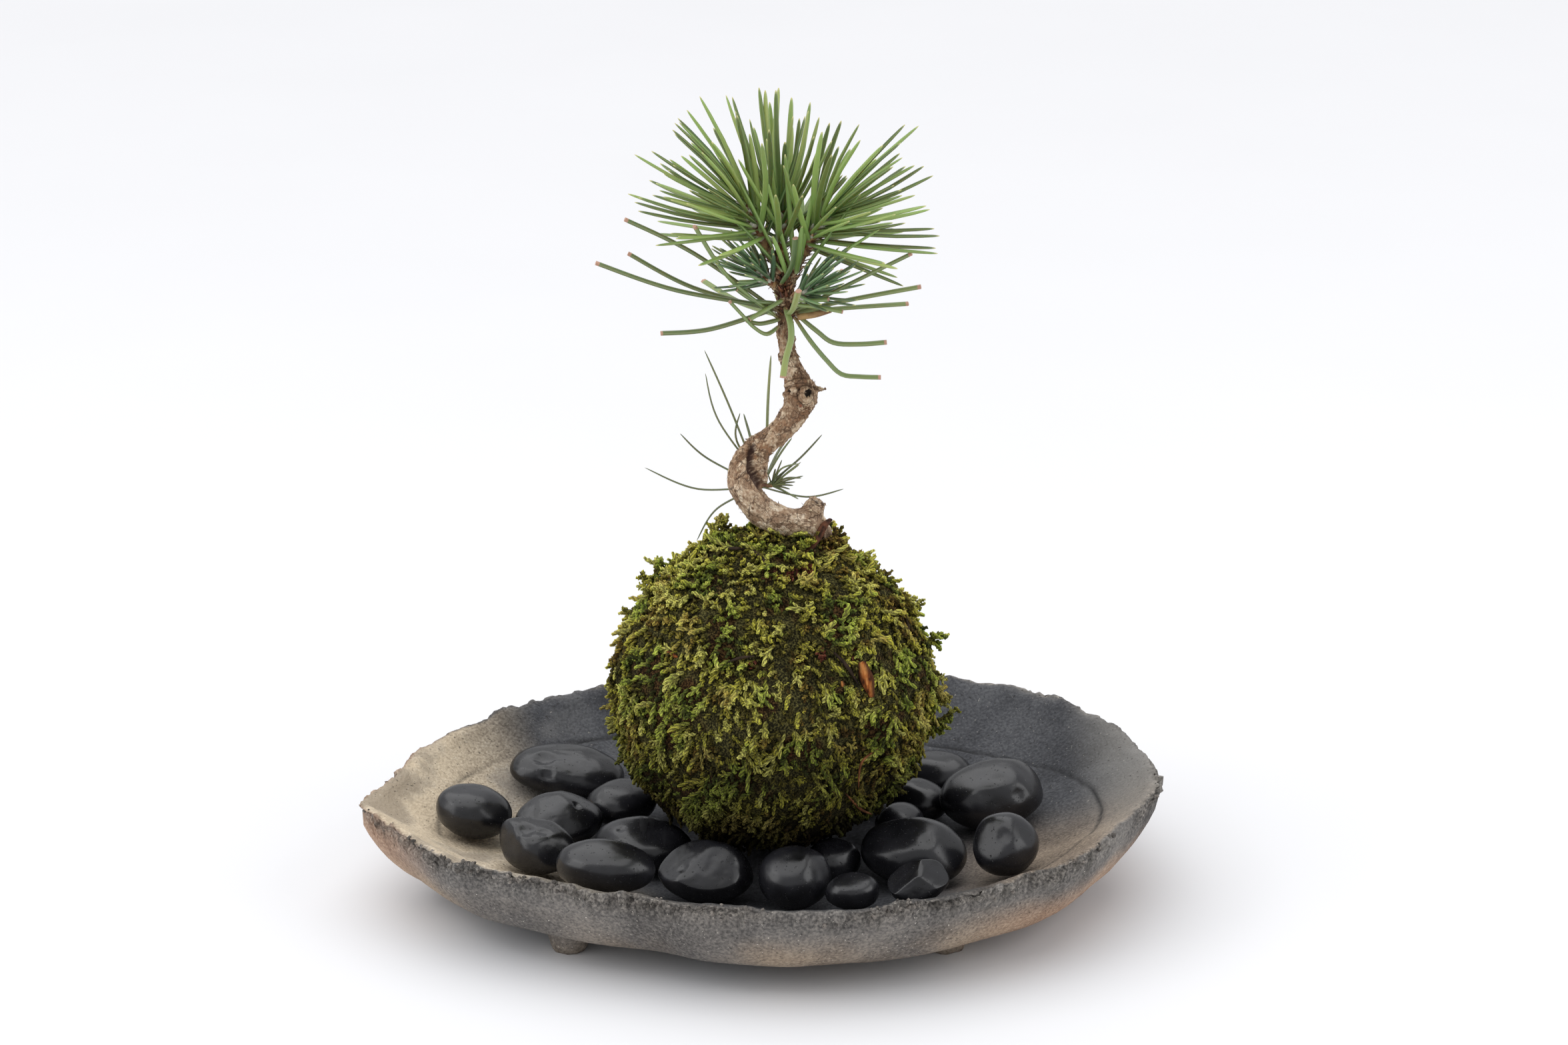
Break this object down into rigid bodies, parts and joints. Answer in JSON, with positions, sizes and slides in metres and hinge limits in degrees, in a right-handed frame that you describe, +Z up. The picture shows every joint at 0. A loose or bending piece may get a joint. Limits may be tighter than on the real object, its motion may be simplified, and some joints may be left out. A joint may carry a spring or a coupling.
{
  "type": "kokedama moss ball plant",
  "caption": "Small S-shaped pine growing from a ball of soil wrapped in living moss, resting among polished black pebbles in a rough oval clay dish on low feet.",
  "frame": {"origin": "middle of the whole object's bounding box seen from above, on the surface that the dish's feet stand on", "axes": "+Z up; +X to the right seen from the front, towards the dish's broad end; +Y away from the viewer"},
  "size_m": [0.248, 0.1796, 0.2498],
  "materials": {
    "dish_clay": "matte",
    "soil": "matte",
    "moss": "matte",
    "thread": "matte",
    "bark": "matte",
    "needles": "satin",
    "old_needles": "satin",
    "pebble": "polished"
  },
  "bodies": {
    "root": {"dish": "dish_clay", "soil_ball": "soil", "moss_blanket": "moss", "binding_thread": "thread", "trunk": "bark", "spray_left": "needles", "spray_top": "needles", "spray_right": "needles", "spray_low_left": "needles", "spray_low_right": "needles", "lower_spray": "needles", "old_needles": "old_needles", "pebble_01": "pebble", "pebble_02": "pebble", "pebble_03": "pebble", "pebble_04": "pebble", "pebble_05": "pebble", "pebble_06": "pebble", "pebble_07": "pebble", "pebble_08": "pebble", "pebble_09": "pebble", "pebble_10": "pebble", "pebble_11": "pebble", "pebble_12": "pebble", "pebble_13": "pebble", "pebble_14": "pebble", "pebble_15": "pebble", "pebble_16": "pebble", "pebble_17": "pebble", "pebble_18": "pebble", "pebble_19": "pebble", "pebble_20": "pebble", "pebble_21": "pebble"}
  },
  "joints": []
}
